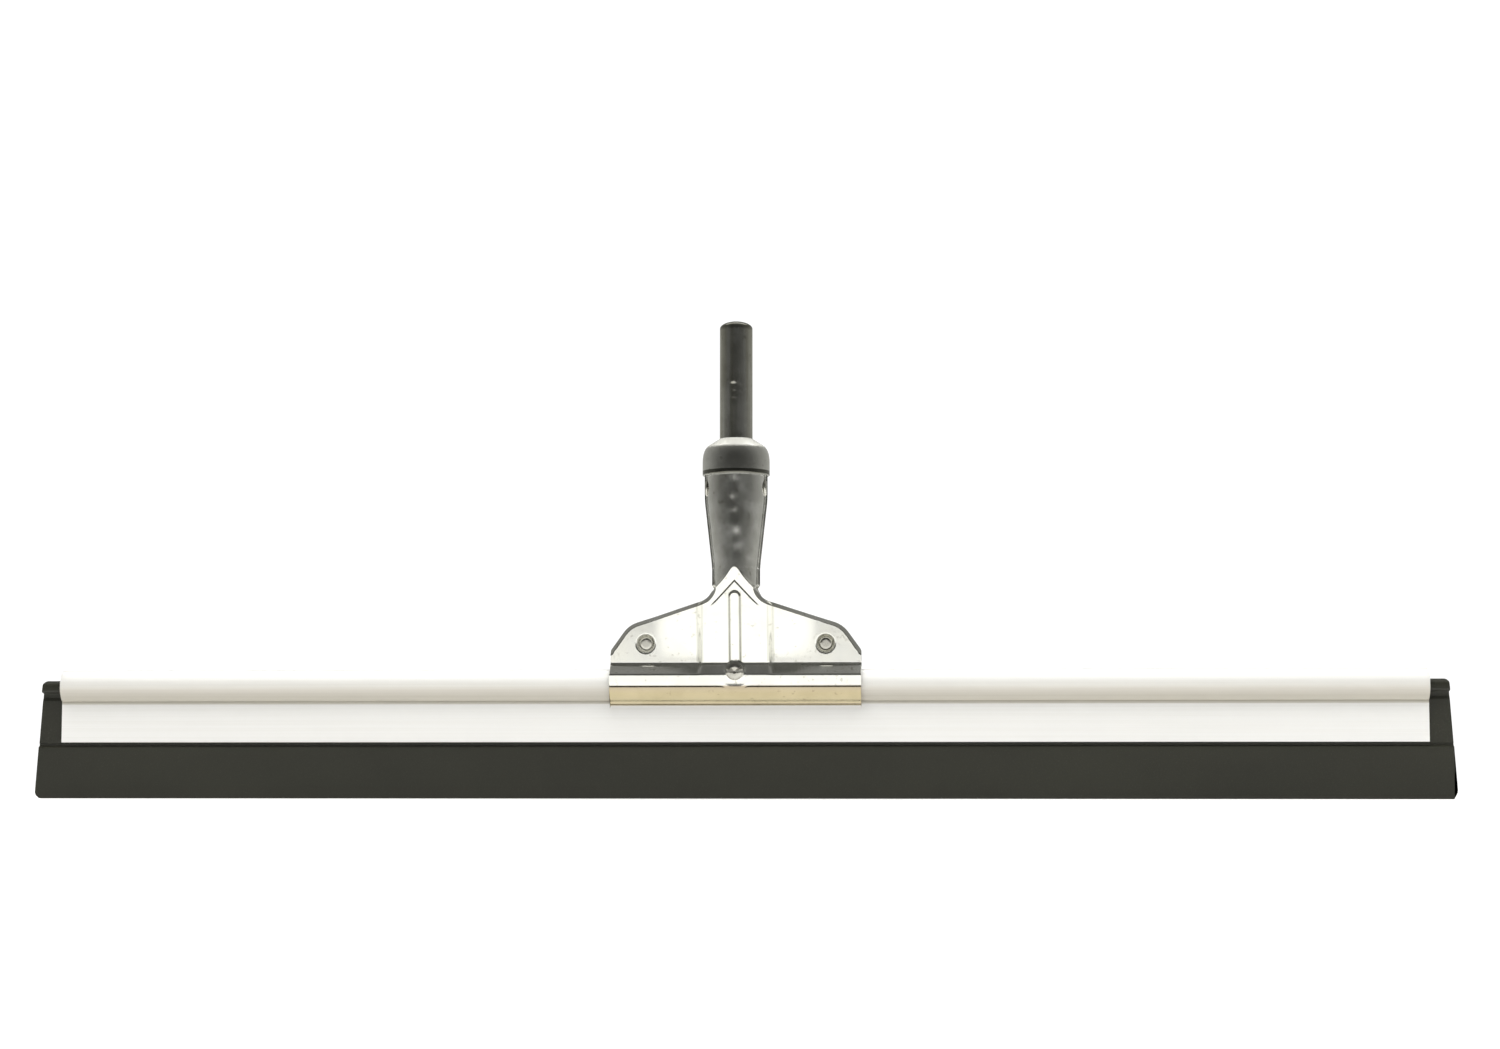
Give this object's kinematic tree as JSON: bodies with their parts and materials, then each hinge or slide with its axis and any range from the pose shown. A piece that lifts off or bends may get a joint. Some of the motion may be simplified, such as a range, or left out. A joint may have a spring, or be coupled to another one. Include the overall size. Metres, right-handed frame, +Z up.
{
  "type": "window cleaning squeegee",
  "caption": "Wide T-shaped window squeegee head: rubber blade in an aluminium channel, held by a pressed steel clamp bracket with a spigot stem for a pole.",
  "frame": {"origin": "middle of the blade's wiping edge", "axes": "+X along the blade, +Z up along the stem, the screw's head side faces -Y"},
  "size_m": [0.5996, 0.0286, 0.2029],
  "materials": {
    "rubber": "matte black rubber",
    "aluminium": "satin drawn aluminium",
    "plated_steel": "bright plated pressed steel",
    "stem_steel": "bright plated steel bar",
    "ferrule_steel": "polished plated steel",
    "fastener_steel": "plated, slightly dull"
  },
  "bodies": {
    "bracket": {"front_shell": "plated_steel", "rear_shell": "plated_steel", "stem": "stem_steel", "ferrule": "ferrule_steel", "socket_pin": "fastener_steel", "wing_rivets": "fastener_steel", "clamp_washer": "fastener_steel", "clamp_nut": "fastener_steel", "channel": "aluminium"},
    "blade": {"blade_rubber": "rubber"},
    "clamp_screw": {"clamp_screw": "fastener_steel"}
  },
  "joints": [
    {"name": "blade_slide", "type": "slide", "parent": "bracket", "child": "blade", "axis": [1, 0, 0], "range_m": [-0.585, 0.585]},
    {"name": "clamp_screw_turn", "type": "hinge", "parent": "bracket", "child": "clamp_screw", "pos_m": [0, 0, 0.0534], "axis": [0, -1, 0], "range_deg": [0, 1080]}
  ]
}
